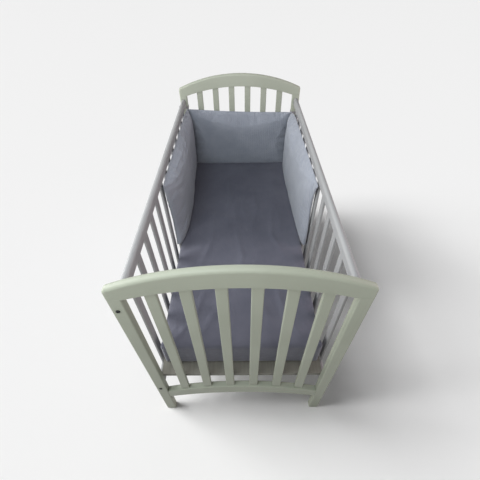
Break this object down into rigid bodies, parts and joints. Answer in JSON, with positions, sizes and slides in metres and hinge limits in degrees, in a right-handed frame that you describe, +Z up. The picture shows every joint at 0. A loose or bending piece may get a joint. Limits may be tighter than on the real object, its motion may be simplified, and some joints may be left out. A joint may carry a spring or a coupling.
{
  "type": "crib bumper on crib",
  "caption": "Padded crib bumper with a head panel and side panels, standing on the sheeted mattress of a slatted wooden crib with arched ends.",
  "frame": {"origin": "on the floor, under the middle of the crib", "axes": "+Z up, +Y from the foot end to the head end where the bumper is, +X to the right as seen from the foot end"},
  "size_m": [0.6954, 1.2884, 1.015],
  "materials": {
    "cot_paint": "satin sage-white paint on wood",
    "bumper_cloth": "soft grey double-gauze cotton",
    "tie_cloth": "folded grey double-gauze strip",
    "sheet_cloth": "dark blue-grey jersey fitted sheet",
    "base_wood": "plain greyed hardboard",
    "bolt_steel": "black satin"
  },
  "bodies": {
    "root": {"foot_arch": "cot_paint", "foot_low_rail": "cot_paint", "foot_leg_left": "cot_paint", "foot_leg_right": "cot_paint", "foot_slat_1": "cot_paint", "foot_slat_2": "cot_paint", "foot_slat_3": "cot_paint", "foot_slat_4": "cot_paint", "foot_slat_5": "cot_paint", "foot_slat_6": "cot_paint", "head_arch": "cot_paint", "head_low_rail": "cot_paint", "head_leg_left": "cot_paint", "head_leg_right": "cot_paint", "head_slat_1": "cot_paint", "head_slat_2": "cot_paint", "head_slat_3": "cot_paint", "head_slat_4": "cot_paint", "head_slat_5": "cot_paint", "head_slat_6": "cot_paint", "left_top_rail": "cot_paint", "left_bottom_rail": "cot_paint", "left_slat_1": "cot_paint", "left_slat_2": "cot_paint", "left_slat_3": "cot_paint", "left_slat_4": "cot_paint", "left_slat_5": "cot_paint", "left_slat_6": "cot_paint", "left_slat_7": "cot_paint", "left_slat_8": "cot_paint", "left_slat_9": "cot_paint", "left_slat_10": "cot_paint", "left_slat_11": "cot_paint", "left_slat_12": "cot_paint", "left_slat_13": "cot_paint", "right_top_rail": "cot_paint", "right_bottom_rail": "cot_paint", "right_slat_1": "cot_paint", "right_slat_2": "cot_paint", "right_slat_3": "cot_paint", "right_slat_4": "cot_paint", "right_slat_5": "cot_paint", "right_slat_6": "cot_paint", "right_slat_7": "cot_paint", "right_slat_8": "cot_paint", "right_slat_9": "cot_paint", "right_slat_10": "cot_paint", "right_slat_11": "cot_paint", "right_slat_12": "cot_paint", "right_slat_13": "cot_paint", "bolt_upper": "bolt_steel", "bolt_lower": "bolt_steel", "mattress": "sheet_cloth", "mattress_base": "base_wood", "bumper_left": "bumper_cloth", "bumper_right": "bumper_cloth", "bumper_head": "bumper_cloth", "tie_left": "tie_cloth", "tie_right": "tie_cloth"}
  },
  "joints": []
}
